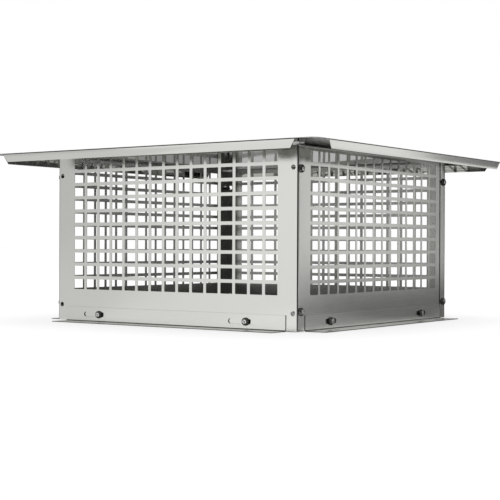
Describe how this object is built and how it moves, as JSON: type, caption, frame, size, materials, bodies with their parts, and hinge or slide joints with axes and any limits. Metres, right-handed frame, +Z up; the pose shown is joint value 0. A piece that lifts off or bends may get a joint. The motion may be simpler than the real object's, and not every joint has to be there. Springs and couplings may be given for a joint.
{
  "type": "chimney cap",
  "caption": "Square flat-lidded chimney cap in satin stainless sheet, with perforated walls, folded lid lips and slotted foot brackets for fixing over a masonry chimney crown.",
  "frame": {"origin": "centre of the square body at the height of the foot brackets' undersides, which rest on the chimney crown", "axes": "+Z up out of the chimney, +X square to the right wall, -Y square to the front wall"},
  "size_m": [0.5846, 0.5846, 0.2513],
  "materials": {
    "lid_sheet": "smooth satin rolled stainless, softly mirror-like at low angles",
    "wall_sheet": "smooth satin rolled stainless with sharp punched windows",
    "foot_sheet": "satin rolled stainless",
    "screw_steel": "bright stainless heads with a cross recess"
  },
  "bodies": {
    "root": {"lid": "lid_sheet", "front_wall": "wall_sheet", "right_wall": "wall_sheet", "back_wall": "wall_sheet", "left_wall": "wall_sheet", "front_foot": "foot_sheet", "right_foot": "foot_sheet", "back_foot": "foot_sheet", "left_foot": "foot_sheet", "front_foot_screw_left": "screw_steel", "front_foot_screw_right": "screw_steel", "right_foot_screw_left": "screw_steel", "right_foot_screw_right": "screw_steel", "back_foot_screw_left": "screw_steel", "back_foot_screw_right": "screw_steel", "left_foot_screw_left": "screw_steel", "left_foot_screw_right": "screw_steel", "corner_screw_front_right_lower": "screw_steel", "corner_screw_front_right_upper": "screw_steel", "corner_screw_back_right_lower": "screw_steel", "corner_screw_back_right_upper": "screw_steel", "corner_screw_back_left_lower": "screw_steel", "corner_screw_back_left_upper": "screw_steel", "corner_screw_front_left_lower": "screw_steel", "corner_screw_front_left_upper": "screw_steel"}
  },
  "joints": []
}
